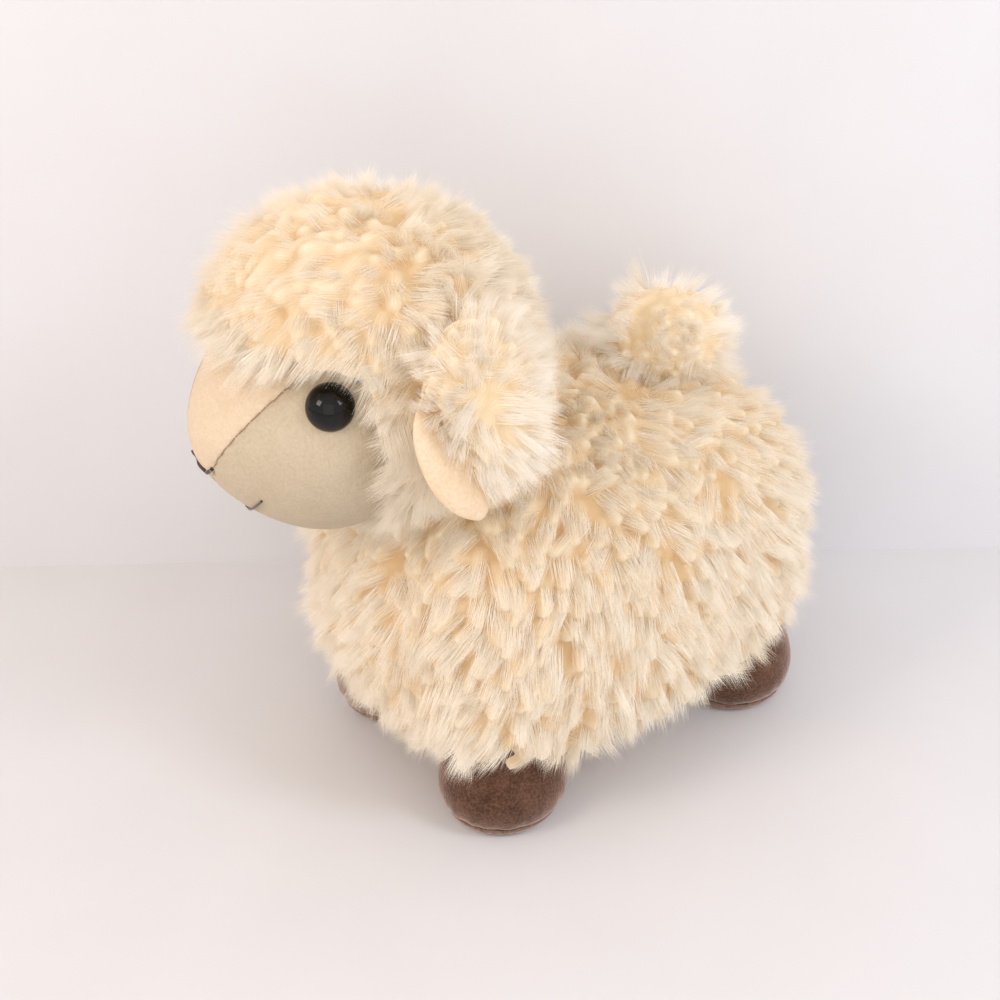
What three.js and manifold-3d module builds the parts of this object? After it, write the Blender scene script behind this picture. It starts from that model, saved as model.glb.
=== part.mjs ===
// Plush lamb: a stuffed toy in cream fleece with a short-pile face, brown feet, floppy ears and a stub tail.
// Millimetres, +Z up, the nose towards -Y and the lamb's left side towards +X.
// The origin is on the floor, under the middle of the toy.
// Every stuffed form is a ball drawn out to size, so a form, its lining and its stuffing share one shape.

import * as THREE from "three";
import { ConvexHull } from "three/addons/math/ConvexHull.js";
import { mergeVertices } from "three/addons/utils/BufferGeometryUtils.js";
import Module from "manifold-3d";

const wasm = await Module();
wasm.setup();

// Cloth, thread and clearances
const fleeceDepth = 12; // backing and standing pile of the long fleece
const clumpDepth = 4; // how far the hollows between clumps of wool lie below their crowns
const velourDepth = 2; // backing and nap of the short pile
const threadDiameter = 1; // embroidery floss of the nose and the mouth
const seamGap = 0.4; // between pieces that are sewn or packed against each other
const swingGap = 0.7; // round a stuffed joint that gives
const seamAllowance = 4; // how far the face cloth runs back under the fleece

// Body
const bodyWidth = 135;
const bodyLength = 174;
const bodyHeight = 122;
const bodyFullness = 2.6; // of the back: 2 is an ellipsoid, higher is squarer
const bellyFullness = 4; // of the underside, where the fleece hangs down over the legs
const bellyHeight = 14; // floor to belly
const rumpTuck = 18; // how far the underside rises towards the rump
const bodyClumps = 430; // of wool, about 14 mm apart

// Head: round about its nodding axis, so that it turns in its seat in the body
const headWidth = 105;
const headRound = 104; // front to back and top to bottom
const headReach = 71; // ahead of the middle of the body
const headRise = 27; // middle of the head above the top of the back
const headClumps = 180; // of wool, about 15 mm apart
const forelockSwell = 7; // extra fleece over the brow
const forelockRise = 42; // degrees above straight ahead
const hairlineSetback = 4; // behind the middle of the face
const hairlineLean = 15; // degrees, the top further forward
const browHeight = 28; // middle of the face to the underside of the forelock
const browSlope = 12; // degrees, lower at the front

// Face
const faceWidth = 78;
const faceLength = 76;
const faceHeight = 70;
const faceReach = 22; // ahead of the middle of the head
const faceDrop = 12; // below the middle of the head
const muzzleTaper = 0.26; // share of the width lost at the nose
const gussetHalfAngle = 75; // degrees, from the nose up to where each face seam meets the fleece
const gussetRise = 51; // degrees above straight ahead at the same place
const noseDrop = 21; // degrees below straight ahead
const noseArm = 10.5; // length of each arm of the stitched nose
const mouthDrop = 50; // degrees below straight ahead
const mouthHalfAngle = 38; // degrees to each side
const mouthSmile = 26; // degrees that the corners rise

// Eyes: glossy plastic, held by a shank and a washer behind the face cloth
const eyeDiameter = 14;
const eyeDome = 6.2;
const eyeSideAngle = 72; // degrees from straight ahead
const eyeRise = 32; // degrees above the middle of the face
const shankDiameter = 4.4;
const shankLength = 13;
const washerDiameter = 13;
const washerThickness = 1.8;

// Ears: a fleece flap with a short-pile lining, sewn along its root
const earLength = 61;
const earWidth = 47;
const earFullness = 2.2;
const earTilt = 15; // degrees that the flap hangs out from the vertical
const earRootRise = 29; // above the middle of the head
const earRootBack = 3; // behind the middle of the head
const earRootDepth = 5; // corner of the flap that is lost at the root line
const liningProud = 1.5; // lining that shows past the fleece round the edge

// Tail
const tailRoot = 16; // radius of its rounded root in the body
const tailRadius = 20;
const tailWaist = 12; // root to the widest place
const tailCrown = 14; // radius near the top
const tailCrownDrop = 7; // top to that place
const tailHeight = 32; // above its root
const tailSetback = 42; // behind the middle of the body
const tailSink = 4; // root below the fleece of the back
const tailSwing = 20; // degrees each way

// Legs: the same shape four times, each turned out a little
const hipRadius = 17.5;
const hipHeight = 45; // floor to the middle of the hip
const ankleRadius = 17;
const ankleHeight = 33;
const footRadius = 22.5;
const footBulgeHeight = 14;
const soleRadius = 20;
const soleFlat = 14; // radius that rests on the floor
const soleHeight = 5; // floor to the sole seam
const legSlimness = 0.95; // width over length
const frontLegSpread = 35; // middle of the toy to each leg
const rearLegSpread = 28;
const frontLegReach = 48; // ahead of the middle of the body
const rearLegReach = 60; // behind the middle of the body
const frontTurnOut = 8; // degrees
const rearTurnOut = 24;
const legSwing = 12; // degrees each way

// Facets
const bodyColumns = 28;
const headColumns = 30;
const faceColumns = 24;
const earColumns = 16;
const legSides = 16;
const eyeSides = 14;
const threadSides = 6;
const threadSteps = 12;
const curveSteps = 4; // along each rounded stretch of a revolved outline
const domeSteps = 7;
const normalStep = 0.01; // radians each way when the slope of a skin is measured

const fleece = cloth("#e6d2ae", 0.95);
const earFleece = cloth("#e8d3b0", 0.95);
const faceVelour = cloth("#ddc8ae", 0.9);
const footVelour = cloth("#6c4a38", 0.9);
const soleVelour = cloth("#7a5643", 0.9);
const stuffing = cloth("#f2efe8", 1);
const thread = cloth("#3a2519", 0.7);
const eyePlastic = new THREE.MeshStandardMaterial({ color: "#110e0e", roughness: 0.08, metalness: 0 });
const washerPlastic = new THREE.MeshStandardMaterial({ color: "#e9e7df", roughness: 0.5, metalness: 0 });

const radians = THREE.MathUtils.degToRad;
const upwards = new THREE.Vector3(0, 0, 1);
const sides = [["left", 1], ["right", -1]];
const bodyMiddle = new THREE.Vector3(0, 0, bellyHeight + bodyHeight / 2);
const headMiddle = new THREE.Vector3(0, -headReach, bellyHeight + bodyHeight + headRise);
const faceMiddle = headMiddle.clone().add(new THREE.Vector3(0, -faceReach, -faceDrop));

function cloth(color, roughness) {
  return new THREE.MeshStandardMaterial({ color, roughness, metalness: 0 });
}

// Unit vector from an angle to the lamb's left of straight ahead and an angle above it.
function ahead(side, rise) {
  const across = radians(side);
  const up = radians(rise);
  return new THREE.Vector3(
    Math.sin(across) * Math.cos(up),
    -Math.cos(across) * Math.cos(up),
    Math.sin(up),
  );
}

// Point on a ball drawn out to three half sizes, in the direction of a unit vector.
function plump(direction, halfSizes, fullness) {
  const power = (share) => Math.abs(share) ** fullness;
  const sum = power(direction.x) + power(direction.y) + power(direction.z);
  return direction.clone().multiplyScalar(sum ** (-1 / fullness)).multiply(halfSizes);
}

function bodySkin(direction) {
  const half = new THREE.Vector3(bodyWidth, bodyLength, bodyHeight).multiplyScalar(0.5);
  const downwards = Math.max(0, -direction.z);
  const point = plump(direction, half, bodyFullness + (bellyFullness - bodyFullness) * downwards);
  const towardsRump = Math.max(0, point.y / half.y);
  const belowMiddle = Math.max(0, -point.z / half.z);
  point.z += rumpTuck * towardsRump ** 2 * belowMiddle;
  return point.add(bodyMiddle);
}

function headBall(direction) {
  const half = new THREE.Vector3(headWidth, headRound, headRound).multiplyScalar(0.5);
  return plump(direction, half, 2).add(headMiddle);
}

function headSkin(direction) {
  const nearForelock = Math.max(0, direction.dot(ahead(0, forelockRise)));
  return headBall(direction).addScaledVector(direction, forelockSwell * nearForelock ** 4);
}

function faceSkin(direction) {
  const half = new THREE.Vector3(faceWidth, faceLength, faceHeight).multiplyScalar(0.5);
  const point = plump(direction, half, 2);
  const narrowing = 1 - muzzleTaper * Math.max(0, -point.y / half.y) ** 2;
  point.x *= narrowing;
  point.z *= narrowing;
  return point.add(faceMiddle);
}

function earSkin(direction) {
  const half = new THREE.Vector3(2 * fleeceDepth, earWidth, earLength).multiplyScalar(0.5);
  return plump(direction, half, earFullness).add(new THREE.Vector3(0, 0, earRootDepth - half.z));
}

// Closed geometry of a skin, with its poles at the lamb's sides.
function formed(skin, columns) {
  const ball = new THREE.SphereGeometry(1, columns, columns / 2).rotateZ(Math.PI / 2);
  const places = ball.getAttribute("position");
  const direction = new THREE.Vector3();
  for (let i = 0; i < places.count; i++) {
    const point = skin(direction.fromBufferAttribute(places, i).normalize());
    places.setXYZ(i, point.x, point.y, point.z);
  }
  return joined(ball);
}

// Directions spread evenly over a ball, along a spiral from the rump to the nose.
function spread(count) {
  const goldenTurn = Math.PI * (3 - Math.sqrt(5));
  const lean = (index) => Math.acos(1 - (2 * index + 1) / count);
  return Array.from({ length: count }, (_, index) =>
    new THREE.Vector3().setFromSphericalCoords(1, lean(index), index * goldenTurn),
  );
}

// Triangles that cover a ball, with their corners in the directions.
function triangles(directions) {
  const { faces } = new ConvexHull().setFromPoints(directions);
  return faces.map(({ edge }) => [edge, edge.next, edge.prev].map((side) => side.head().point));
}

// Closed geometry of a skin in clumps of wool: their crowns are on the skin, and the hollows lie deeper
// wherever the fleece isn't drawn smooth.
function woolly(skin, clumps, drawnSmooth = () => false) {
  const crowns = spread(clumps);
  const hollows = triangles(crowns).map(([a, b, c]) => a.clone().add(b).add(c).normalize());
  const deep = new Set(hollows);
  const corners = triangles([...crowns, ...hollows]).flat().map((direction) => {
    const point = skin(direction);
    const depth = deep.has(direction) && !drawnSmooth(point) ? clumpDepth : 0;
    return point.addScaledVector(skinNormal(skin, direction), -depth);
  });
  return joined(new THREE.BufferGeometry().setFromPoints(corners));
}

// The same geometry as positions alone, with shared vertices and no collapsed faces.
function joined(geometry) {
  const bare = new THREE.BufferGeometry();
  bare.setAttribute("position", geometry.getAttribute("position").clone());
  bare.setIndex(geometry.getIndex());
  const merged = mergeVertices(bare, 1e-4);
  const corners = merged.getIndex().array;
  const kept = [];
  for (let i = 0; i < corners.length; i += 3) {
    const [a, b, c] = corners.slice(i, i + 3);
    if (a !== b && b !== c && c !== a) kept.push(a, b, c);
  }
  return merged.setIndex(kept);
}

// The form with its skin moved out along its normals, or in where the distance is negative.
function grown(form, distance) {
  const moved = form.clone();
  moved.computeVertexNormals();
  const places = moved.getAttribute("position");
  const normals = moved.getAttribute("normal");
  const point = new THREE.Vector3();
  const normal = new THREE.Vector3();
  for (let i = 0; i < places.count; i++) {
    point.fromBufferAttribute(places, i).addScaledVector(normal.fromBufferAttribute(normals, i), distance);
    places.setXYZ(i, point.x, point.y, point.z);
  }
  return moved;
}

// A closed geometry as a solid that can be joined and cut.
function solid(geometry, placed = new THREE.Matrix4()) {
  const shape = joined(geometry).applyMatrix4(placed);
  return new wasm.Manifold(
    new wasm.Mesh({
      numProp: 3,
      vertProperties: new Float32Array(shape.getAttribute("position").array),
      triVerts: new Uint32Array(shape.getIndex().array),
    }),
  );
}

function piece(name, made, material) {
  const mesh = made.getMesh();
  const geometry = new THREE.BufferGeometry();
  geometry.setAttribute("position", new THREE.BufferAttribute(mesh.vertProperties, 3));
  geometry.setIndex(new THREE.BufferAttribute(mesh.triVerts, 1));
  geometry.computeVertexNormals();
  const node = new THREE.Mesh(geometry, material);
  node.name = name;
  return node;
}

// Everything on the side of a plane that its normal points to.
function beyond(point, normal) {
  const reach = 4 * Math.max(bodyLength, headMiddle.z + headRound);
  const block = new THREE.BoxGeometry(reach, reach, reach).translate(0, 0, reach / 2);
  const turn = new THREE.Quaternion().setFromUnitVectors(upwards, normal.clone().normalize());
  return solid(block, new THREE.Matrix4().compose(point, turn, new THREE.Vector3(1, 1, 1)));
}

// Revolved geometry from points of radius and height.
function revolved(points, segments) {
  return new THREE.LatheGeometry(points, segments).rotateX(Math.PI / 2);
}

function flat(radius, height) {
  return new THREE.Vector2(radius, height);
}

// Quarter of a circle about the origin.
function arc(radius, from, to) {
  const turn = new THREE.EllipseCurve(0, 0, radius, radius, radians(from), radians(to), to < from);
  return turn.getPoints(curveSteps).map((point) => flat(Math.max(0, point.x), point.y));
}

// Legs. Heights here are from the middle of the hip, where the leg swings.

const legProfile = [
  flat(ankleRadius, ankleHeight - hipHeight),
  flat(footRadius, footBulgeHeight - hipHeight),
  flat(soleRadius, soleHeight - hipHeight),
];

// From the top of the hip down to the sole seam, moved in by a thickness of cloth.
function legOutline(inset) {
  const swell = new THREE.SplineCurve([flat(hipRadius, 0), ...legProfile]);
  const hip = arc(hipRadius - inset, 90, 0);
  const shin = swell.getPoints(curveSteps + 1).slice(1).map((point) => flat(point.x - inset, point.y));
  return [...hip, ...shin];
}

function coverGeometry() {
  const outside = legOutline(0);
  const inside = legOutline(velourDepth);
  return revolved([...outside, ...inside.reverse()].reverse(), legSides);
}

function soleGeometry() {
  const floor = -hipHeight;
  const seam = floor + soleHeight - seamGap;
  const outside = new THREE.QuadraticBezierCurve(
    flat(soleFlat, floor),
    flat(soleRadius - seamGap, floor),
    flat(soleRadius, seam),
  ).getPoints(curveSteps);
  const inside = new THREE.QuadraticBezierCurve(
    flat(soleRadius - velourDepth, seam),
    flat(soleRadius - velourDepth - seamGap, floor + velourDepth),
    flat(soleFlat - velourDepth, floor + velourDepth),
  ).getPoints(curveSteps / 2);
  return revolved([flat(0, floor), ...outside, ...inside, flat(0, floor + velourDepth)], legSides);
}

function legStuffingGeometry() {
  const packed = velourDepth + seamGap;
  const floor = packed - hipHeight;
  const outside = legOutline(packed);
  const foot = flat(soleFlat - packed, floor);
  return revolved([...outside, foot, flat(0, floor)].reverse(), legSides);
}

// Room for a swinging leg or tail: its outline turned about the middle of its root by the swing, all round.
function socketGeometry(rootRadius, profile, swing) {
  const lean = radians(swing);
  const side = Math.sign(profile[0].y);
  const root = arc(rootRadius + swingGap, -90 * side, -swing * side);
  const swell = new THREE.SplineCurve([flat(rootRadius, 0), ...profile]);
  const wall = swell.getPoints(curveSteps + 1).slice(1).map((point) => {
    const away = Math.abs(point.y);
    const radius = point.x * Math.cos(lean) + away * Math.sin(lean) + swingGap;
    return flat(radius, side * (away * Math.cos(lean) - point.x * Math.sin(lean)));
  });
  const mouth = wall[wall.length - 1];
  const outside = mouth.y + side * bodyHeight;
  const outline = [...root, ...wall, flat(mouth.x, outside), flat(0, outside)];
  return revolved(side > 0 ? outline : outline.reverse(), legSides);
}

function legGroup(name, across, reach, turnOut) {
  const leg = new THREE.Group();
  leg.position.set(across, reach, hipHeight);
  leg.rotation.z = radians(turnOut);
  leg.scale.x = legSlimness;
  leg.add(piece(`${name}_foot_cover`, solid(coverGeometry()), footVelour));
  leg.add(piece(`${name}_sole`, solid(soleGeometry()), soleVelour));
  leg.add(piece(`${name}_leg_stuffing`, solid(legStuffingGeometry()), stuffing));
  leg.updateMatrix();
  return leg;
}

const legs = [
  legGroup("front_left", frontLegSpread, -frontLegReach, frontTurnOut),
  legGroup("front_right", -frontLegSpread, -frontLegReach, -frontTurnOut),
  legGroup("rear_left", rearLegSpread, rearLegReach, rearTurnOut),
  legGroup("rear_right", -rearLegSpread, rearLegReach, -rearTurnOut),
];

// Tail: a tuft that stands on a rounded root, sunk in the fleece of the back.

const tailProfile = [flat(tailRadius, tailWaist), flat(tailCrown, tailHeight - tailCrownDrop)];

function tailGeometry() {
  const swell = new THREE.SplineCurve([flat(tailRoot, 0), ...tailProfile, flat(0, tailHeight)]);
  return revolved([...arc(tailRoot, -90, 0), ...swell.getPoints(2 * curveSteps).slice(1)], legSides);
}

function backHeight(reach) {
  const share = Math.abs(reach) / (bodyLength / 2);
  return bodyMiddle.z + (bodyHeight / 2) * (1 - share ** bodyFullness) ** (1 / bodyFullness);
}

const tail = new THREE.Group();
tail.position.set(0, tailSetback, backHeight(tailSetback) - tailSink);
tail.updateMatrix();
tail.add(piece("tail_fleece", solid(tailGeometry()), fleece));

// Body: a fleece cover round its stuffing, with seats for the head, the legs and the tail.

const bodyForm = formed(bodySkin, bodyColumns);
const headBallForm = formed(headBall, headColumns);
const tailSocket = solid(socketGeometry(tailRoot, tailProfile, tailSwing), tail.matrix);
const headSeat = solid(grown(headBallForm, swingGap));
const hipSockets = legs.map((leg) => solid(socketGeometry(hipRadius, legProfile, legSwing), leg.matrix));
const seats = hipSockets.reduce((all, socket) => all.add(socket), headSeat.add(tailSocket));

function overHip(point) {
  return legs.some((leg) => leg.position.distanceTo(point) < hipRadius + fleeceDepth);
}

const bodyCover = solid(woolly(bodySkin, bodyClumps, overHip))
  .subtract(solid(grown(bodyForm, -fleeceDepth)))
  .subtract(seats);
const bodyStuffing = solid(grown(bodyForm, -fleeceDepth - seamGap)).subtract(seats);

// Head: a fleece cap, three face panels, and the stuffing that fills them.

const headForm = formed(headSkin, headColumns);
const faceForm = formed(faceSkin, faceColumns);
const hairlineNormal = ahead(0, -hairlineLean);
const hairline = faceMiddle.clone().addScaledVector(hairlineNormal, -hairlineSetback);
const browNormal = ahead(180, 90 - browSlope).negate();
const brow = faceMiddle.clone().add(new THREE.Vector3(0, 0, browHeight));

const faceWindow = beyond(hairline, hairlineNormal).intersect(beyond(brow, browNormal));
const headCover = solid(woolly(headSkin, headClumps))
  .subtract(solid(grown(headBallForm, -fleeceDepth)))
  .subtract(solid(grown(faceForm, seamGap)))
  .subtract(faceWindow);

const clothEdge = hairline.clone().addScaledVector(hairlineNormal, -seamAllowance);
const faceStuffing = solid(grown(faceForm, -velourDepth - seamGap));
const faceCloth = solid(faceForm)
  .subtract(solid(grown(faceForm, -velourDepth)))
  .intersect(beyond(clothEdge, hairlineNormal));
const clothRoom = solid(grown(faceForm, seamGap))
  .subtract(faceStuffing)
  .intersect(beyond(clothEdge.clone().addScaledVector(hairlineNormal, -seamGap), hairlineNormal));

// Each face seam lies in a plane through the middle of the face, the nose and the end of the seam.
function gussetPlane(side) {
  const seamEnd = ahead(side * gussetHalfAngle, gussetRise);
  return seamEnd.cross(ahead(0, -noseDrop)).multiplyScalar(side).normalize();
}

function outsideGusset(side, offset) {
  const normal = gussetPlane(side);
  return beyond(faceMiddle.clone().addScaledVector(normal, offset), normal);
}

function cheekPanel(side) {
  const sideways = new THREE.Vector3(side, 0, 0);
  const half = beyond(faceMiddle.clone().addScaledVector(sideways, seamGap / 2), sideways);
  return faceCloth.intersect(outsideGusset(side, seamGap / 2)).intersect(half);
}

const nosePanel = faceCloth
  .subtract(outsideGusset(1, -seamGap / 2))
  .subtract(outsideGusset(-1, -seamGap / 2));

// Eyes, in a frame whose +Z points out of the face.

function skinNormal(skin, direction) {
  const across = new THREE.Vector3(-direction.y, direction.x, 0).normalize();
  const up = direction.clone().cross(across);
  const along = (axis) =>
    skin(direction.clone().addScaledVector(axis, normalStep).normalize())
      .sub(skin(direction.clone().addScaledVector(axis, -normalStep).normalize()));
  return along(across).cross(along(up)).normalize();
}

function eyeFrame(side) {
  const direction = ahead(side * eyeSideAngle, eyeRise);
  const frame = new THREE.Group();
  frame.position.copy(faceSkin(direction));
  frame.quaternion.setFromUnitVectors(upwards, skinNormal(faceSkin, direction));
  frame.updateMatrix();
  return frame;
}

// How far the curved face cloth falls away from flat at a distance from the middle of the eye.
function clothSag(distance) {
  const direction = ahead(eyeSideAngle, eyeRise);
  const middle = faceSkin(direction);
  const normal = skinNormal(faceSkin, direction);
  const lean = distance / middle.distanceTo(faceMiddle);
  const across = direction.clone().cross(upwards).normalize();
  const turns = Array.from({ length: eyeSides }, (_, index) => (index * 2 * Math.PI) / eyeSides);
  const sags = turns.map((turn) => {
    const axis = across.clone().applyAxisAngle(direction, turn);
    return middle.clone().sub(faceSkin(direction.clone().applyAxisAngle(axis, lean))).dot(normal);
  });
  return Math.max(...sags);
}

const washerTop = -velourDepth - clothSag(washerDiameter / 2) - swingGap;

function eyeGeometry() {
  const bulge = new THREE.EllipseCurve(0, seamGap, eyeDiameter / 2, eyeDome, 0, Math.PI / 2);
  const dome = bulge.getPoints(domeSteps).slice(0, -1);
  const radius = shankDiameter / 2;
  const shank = [flat(0, -shankLength), flat(radius, -shankLength), flat(radius, seamGap)];
  return revolved([...shank, ...dome, flat(0, seamGap + eyeDome)], eyeSides);
}

function washerGeometry() {
  const bore = shankDiameter / 2 + seamGap;
  const rim = washerDiameter / 2;
  const under = washerTop - washerThickness;
  const upper = [flat(rim, washerTop), flat(bore, washerTop)];
  return revolved([flat(bore, under), flat(rim, under), ...upper, flat(bore, under)], eyeSides);
}

function post(radius, from, to) {
  const length = to - from;
  return new THREE.CylinderGeometry(radius, radius, length, eyeSides)
    .rotateX(Math.PI / 2)
    .translate(0, 0, from + length / 2);
}

const eyeFrames = { left: eyeFrame(1), right: eyeFrame(-1) };
const shankHole = post(shankDiameter / 2 + seamGap, -shankLength, eyeDome);
const washerRoom = post(washerDiameter / 2 + seamGap, -shankLength - seamGap, eyeDome);

const headStuffing = solid(grown(headBallForm, -fleeceDepth - seamGap))
  .add(faceStuffing)
  .subtract(clothRoom)
  .subtract(solid(washerRoom, eyeFrames.left.matrix))
  .subtract(solid(washerRoom, eyeFrames.right.matrix));

const head = new THREE.Group();
head.add(piece("head_fleece", headCover, fleece));
head.add(piece("nose_panel", nosePanel, faceVelour));
head.add(piece("head_stuffing", headStuffing, stuffing));
for (const [side, sign] of sides) {
  const cheek = cheekPanel(sign).subtract(solid(shankHole, eyeFrames[side].matrix));
  head.add(piece(`${side}_cheek_panel`, cheek, faceVelour));
  eyeFrames[side].add(piece(`${side}_eye`, solid(eyeGeometry()), eyePlastic));
  eyeFrames[side].add(piece(`${side}_eye_washer`, solid(washerGeometry()), washerPlastic));
  head.add(eyeFrames[side]);
}

// Stitched nose and mouth: floss laid on the face cloth.

function onFace(direction) {
  return faceSkin(direction).addScaledVector(skinNormal(faceSkin, direction), threadDiameter / 2 + seamGap);
}

function stitched(directions) {
  const path = new THREE.CatmullRomCurve3(directions.map(onFace), false, "centripetal");
  const radius = threadDiameter / 2;
  const round = new THREE.EllipseCurve(0, 0, radius, radius, 0, 2 * Math.PI).getPoints(threadSides);
  const section = new THREE.Shape(round.slice(1));
  return solid(new THREE.ExtrudeGeometry(section, { steps: threadSteps, extrudePath: path }));
}

// Direction along a face seam at a distance from the tip of the nose.
function alongGusset(side, distance) {
  const tip = ahead(0, -noseDrop);
  const axis = tip.clone().cross(ahead(side * gussetHalfAngle, gussetRise)).normalize();
  return tip.applyAxisAngle(axis, distance / faceSkin(ahead(0, -noseDrop)).distanceTo(faceMiddle));
}

const acrossFace = [-1, -0.5, 0, 0.5, 1];
const noseStitch = stitched(
  acrossFace.map((share) => alongGusset(Math.sign(share), Math.abs(share) * noseArm)),
);
const mouthStitch = stitched(
  acrossFace.map((share) => ahead(share * mouthHalfAngle, mouthSmile * share ** 2 - mouthDrop)),
);
head.add(piece("nose_stitch", noseStitch, thread));
head.add(piece("mouth_stitch", mouthStitch, thread));

// Ears, in a frame whose origin is on the root line, +X out of the head and -Z down the flap.

function earFrame(sign) {
  const root = new THREE.Vector3(0, earRootBack, earRootRise);
  const headHalf = (headWidth / 2) * Math.sqrt(1 - root.lengthSq() / (headRound / 2) ** 2);
  const frame = new THREE.Group();
  frame.position.copy(headMiddle).add(root.setX(sign * headHalf));
  frame.rotation.y = -sign * radians(earTilt);
  frame.scale.x = sign;
  frame.updateMatrix();
  return frame;
}

const outOfHead = new THREE.Vector3(1, 0, 0);
const headRoom = solid(grown(headForm, seamGap), earFrame(1).matrix.clone().invert());
const flapForm = formed(earSkin, earColumns);

function flapLayer(form, inner, outer) {
  return solid(form)
    .intersect(beyond(outOfHead.clone().multiplyScalar(inner), outOfHead))
    .subtract(beyond(outOfHead.clone().multiplyScalar(outer), outOfHead))
    .subtract(beyond(new THREE.Vector3(), upwards))
    .subtract(headRoom);
}

const earLining = flapLayer(grown(flapForm, liningProud), 0, velourDepth);
const earCover = flapLayer(flapForm, velourDepth + seamGap, 2 * fleeceDepth);

for (const [side, sign] of sides) {
  const ear = earFrame(sign);
  ear.add(piece(`${side}_ear_lining`, earLining, faceVelour));
  ear.add(piece(`${side}_ear_fleece`, earCover, earFleece));
  head.add(ear);
}

// The whole toy, moved so that the origin is under its middle.

const lamb = new THREE.Group();
lamb.add(piece("body_fleece", bodyCover, fleece));
lamb.add(piece("body_stuffing", bodyStuffing, stuffing));
lamb.add(head, tail, ...legs);

const toy = new THREE.Group();
toy.add(lamb);
const box = new THREE.Box3().setFromObject(toy);
const middle = box.getCenter(new THREE.Vector3());
lamb.position.set(-middle.x, -middle.y, -box.min.z);

export default toy;
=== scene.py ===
# Plush lamb: fleece, velour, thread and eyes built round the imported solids.
# Shapes are worked out in millimetres and stored in metres. +Z is up, the nose points towards -Y, and the
# lamb's left side is towards +X.

import math

import bmesh
import bpy
import numpy as np
from mathutils import Matrix, Vector, kdtree, noise


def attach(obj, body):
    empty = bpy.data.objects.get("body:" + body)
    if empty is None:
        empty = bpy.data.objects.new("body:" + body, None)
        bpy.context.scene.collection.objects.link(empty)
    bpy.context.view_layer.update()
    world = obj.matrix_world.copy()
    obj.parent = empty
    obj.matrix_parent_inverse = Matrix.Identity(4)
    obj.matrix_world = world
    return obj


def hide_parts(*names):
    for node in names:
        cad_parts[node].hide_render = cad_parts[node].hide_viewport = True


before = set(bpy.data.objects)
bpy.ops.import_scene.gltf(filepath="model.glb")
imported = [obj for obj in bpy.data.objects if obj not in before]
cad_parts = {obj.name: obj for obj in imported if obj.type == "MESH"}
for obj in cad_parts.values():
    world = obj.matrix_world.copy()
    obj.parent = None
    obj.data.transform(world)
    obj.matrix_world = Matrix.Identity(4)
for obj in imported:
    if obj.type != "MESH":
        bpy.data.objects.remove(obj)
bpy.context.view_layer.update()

# Both random sources have a fixed seed, so that each run lays the same tufts.
rng = np.random.default_rng(7)
noise.seed_set(3)

MM = 0.001
UP = Vector((0, 0, 1))
AHEAD = Vector((0, -1, 0))

# Places and sizes of the solids, in millimetres and degrees
BODY_MIDDLE = Vector((0, 21.445, 75))
BODY_HALF = Vector((67.5, 87, 61))
BACK_FULLNESS, BELLY_FULLNESS = 2.6, 4.0
RUMP_TUCK = 18
BODY_CLUMPS, HEAD_CLUMPS = 430, 180  # of wool
HEAD_MIDDLE = Vector((0, -49.555, 163))
HEAD_HALF = Vector((52.5, 52, 52))
FORELOCK_SWELL, FORELOCK_RISE = 7, 42
FACE_MIDDLE = Vector((0, -71.555, 151))
FACE_HALF = Vector((39, 38, 35))
MUZZLE_TAPER = 0.26
GUSSET_SIDE, GUSSET_RISE, NOSE_DROP = 75, 51, 21
NOSE_ARM = 10.5
MOUTH_DROP, MOUTH_SIDE, MOUTH_SMILE = 50, 38, 26
EYE_SIDE, EYE_RISE = 72, 32
EYE_RADIUS, EYE_DOME = 7.0, 6.2
EYE_SINK = 1.0  # into the nap
EAR_ROOT = Vector((43.472, -46.555, 192))
EAR_TILT = 15
EAR_HALF = Vector((12, 23.5, 30.5))
EAR_DROP = 25.5  # root line to the middle of the flap
TAIL_ROOT = Vector((0, 63.445, 128.289))
HIPS = {
    "front_left": (Vector((35, -26.555, 45)), 8),
    "front_right": (Vector((-35, -26.555, 45)), -8),
    "rear_left": (Vector((28, 81.445, 45)), 24),
    "rear_right": (Vector((-28, 81.445, 45)), -24),
}
LEG_SLIMNESS = 0.95
HIP_RADIUS = 17.5
SIDES = {"left": 1, "right": -1}


# Colours and nodes


def ink(hex_colour):
    """Linear RGBA of an sRGB hex colour."""
    shares = [int(hex_colour[i : i + 2], 16) / 255 for i in (1, 3, 5)]
    return [s / 12.92 if s <= 0.04045 else ((s + 0.055) / 1.055) ** 2.4 for s in shares] + [1]


def add(tree, kind, inputs=None, stops=(), **settings):
    """A new node with its settings and colour stops; each input is a value or the output that feeds it."""
    made = tree.nodes.new(kind)
    for number, (place, colour) in enumerate(stops):
        marks = made.color_ramp.elements
        mark = marks[number] if number < len(marks) else marks.new(place)
        mark.position = place
        mark.color = ink(colour)
    for name, value in settings.items():
        setattr(made, name, value)
    for name, value in (inputs or {}).items():
        if isinstance(value, bpy.types.NodeSocket):
            tree.links.new(value, made.inputs[name])
        else:
            made.inputs[name].default_value = value
    return made


def finish(name, **inputs):
    """A new material with one principled shader; each input is a socket's name with its constant value."""
    material = bpy.data.materials.new(name)
    material.use_nodes = True
    tree = material.node_tree
    tree.nodes.clear()
    shader = add(tree, "ShaderNodeBsdfPrincipled", inputs)
    add(tree, "ShaderNodeOutputMaterial", {"Surface": shader.outputs["BSDF"]})
    return material, tree, shader


CLING_HEIGHT = 0.5  # the tip of a tuft in the pile's map
LOOSE_HEIGHT = 0.6  # the root of a loose fibre in it
STRANDS = 60.0  # lighter and darker ones across it


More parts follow.
